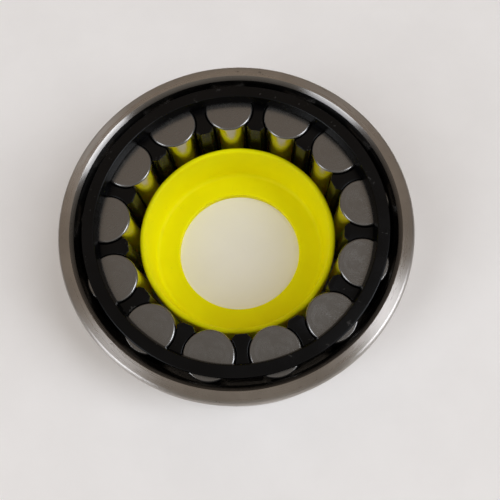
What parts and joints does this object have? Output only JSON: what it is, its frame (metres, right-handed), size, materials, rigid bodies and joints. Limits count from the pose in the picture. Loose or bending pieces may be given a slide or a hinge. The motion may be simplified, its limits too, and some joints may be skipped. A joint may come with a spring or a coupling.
{
  "type": "cylindrical roller bearing",
  "caption": "Cylindrical roller bearing without inner ring: ribbed steel outer ring, caged steel rollers that turn, and a push-out plastic mounting sleeve in the shaft's place.",
  "frame": {"origin": "centre of the outer ring on its ribbed face, which the bearing stands on", "axes": "+Z along the bearing's axis, from the ribbed face to the open face that the picture shows; +Y from the axis to the first roller"},
  "size_m": [0.052, 0.052, 0.015],
  "materials": {
    "ring_steel": "ground",
    "roller_steel": "fine ground",
    "cage_plastic": "moulded satin",
    "sleeve_plastic": "moulded satin"
  },
  "bodies": {
    "outer_ring": {"outer_ring": "ring_steel"},
    "cage": {"cage": "cage_plastic"},
    "mounting_sleeve": {"mounting_sleeve": "sleeve_plastic"},
    "roller_01": {"roller_01": "roller_steel"},
    "roller_02": {"roller_02": "roller_steel"},
    "roller_03": {"roller_03": "roller_steel"},
    "roller_04": {"roller_04": "roller_steel"},
    "roller_05": {"roller_05": "roller_steel"},
    "roller_06": {"roller_06": "roller_steel"},
    "roller_07": {"roller_07": "roller_steel"},
    "roller_08": {"roller_08": "roller_steel"},
    "roller_09": {"roller_09": "roller_steel"},
    "roller_10": {"roller_10": "roller_steel"},
    "roller_11": {"roller_11": "roller_steel"},
    "roller_12": {"roller_12": "roller_steel"},
    "roller_13": {"roller_13": "roller_steel"}
  },
  "joints": [
    {"name": "cage_turn", "type": "hinge", "parent": "outer_ring", "child": "cage", "pos_m": [0, 0, 0.008], "axis": [0, 0, 1], "continuous": true},
    {"name": "sleeve_push_out", "type": "slide", "parent": "cage", "child": "mounting_sleeve", "axis": [0, 0, 1], "range_m": [0, 0.02]},
    {"name": "roller_01_spin", "type": "hinge", "parent": "cage", "child": "roller_01", "pos_m": [0, 0.0195, 0.008], "axis": [0, 0, 1], "continuous": true},
    {"name": "roller_02_spin", "type": "hinge", "parent": "cage", "child": "roller_02", "pos_m": [0.00906, 0.01727, 0.008], "axis": [0, 0, 1], "continuous": true},
    {"name": "roller_03_spin", "type": "hinge", "parent": "cage", "child": "roller_03", "pos_m": [0.01605, 0.01108, 0.008], "axis": [0, 0, 1], "continuous": true},
    {"name": "roller_04_spin", "type": "hinge", "parent": "cage", "child": "roller_04", "pos_m": [0.01936, 0.00235, 0.008], "axis": [0, 0, 1], "continuous": true},
    {"name": "roller_05_spin", "type": "hinge", "parent": "cage", "child": "roller_05", "pos_m": [0.01823, -0.00691, 0.008], "axis": [0, 0, 1], "continuous": true},
    {"name": "roller_06_spin", "type": "hinge", "parent": "cage", "child": "roller_06", "pos_m": [0.01293, -0.0146, 0.008], "axis": [0, 0, 1], "continuous": true},
    {"name": "roller_07_spin", "type": "hinge", "parent": "cage", "child": "roller_07", "pos_m": [0.00467, -0.01893, 0.008], "axis": [0, 0, 1], "continuous": true},
    {"name": "roller_08_spin", "type": "hinge", "parent": "cage", "child": "roller_08", "pos_m": [-0.00467, -0.01893, 0.008], "axis": [0, 0, 1], "continuous": true},
    {"name": "roller_09_spin", "type": "hinge", "parent": "cage", "child": "roller_09", "pos_m": [-0.01293, -0.0146, 0.008], "axis": [0, 0, 1], "continuous": true},
    {"name": "roller_10_spin", "type": "hinge", "parent": "cage", "child": "roller_10", "pos_m": [-0.01823, -0.00691, 0.008], "axis": [0, 0, 1], "continuous": true},
    {"name": "roller_11_spin", "type": "hinge", "parent": "cage", "child": "roller_11", "pos_m": [-0.01936, 0.00235, 0.008], "axis": [0, 0, 1], "continuous": true},
    {"name": "roller_12_spin", "type": "hinge", "parent": "cage", "child": "roller_12", "pos_m": [-0.01605, 0.01108, 0.008], "axis": [0, 0, 1], "continuous": true},
    {"name": "roller_13_spin", "type": "hinge", "parent": "cage", "child": "roller_13", "pos_m": [-0.00906, 0.01727, 0.008], "axis": [0, 0, 1], "continuous": true}
  ],
  "couplings": [
    {"joint": "roller_01_spin", "follows": "cage_turn", "ratio": -6.2},
    {"joint": "roller_02_spin", "follows": "cage_turn", "ratio": -6.2},
    {"joint": "roller_03_spin", "follows": "cage_turn", "ratio": -6.2},
    {"joint": "roller_04_spin", "follows": "cage_turn", "ratio": -6.2},
    {"joint": "roller_05_spin", "follows": "cage_turn", "ratio": -6.2},
    {"joint": "roller_06_spin", "follows": "cage_turn", "ratio": -6.2},
    {"joint": "roller_07_spin", "follows": "cage_turn", "ratio": -6.2},
    {"joint": "roller_08_spin", "follows": "cage_turn", "ratio": -6.2},
    {"joint": "roller_09_spin", "follows": "cage_turn", "ratio": -6.2},
    {"joint": "roller_10_spin", "follows": "cage_turn", "ratio": -6.2},
    {"joint": "roller_11_spin", "follows": "cage_turn", "ratio": -6.2},
    {"joint": "roller_12_spin", "follows": "cage_turn", "ratio": -6.2},
    {"joint": "roller_13_spin", "follows": "cage_turn", "ratio": -6.2}
  ]
}
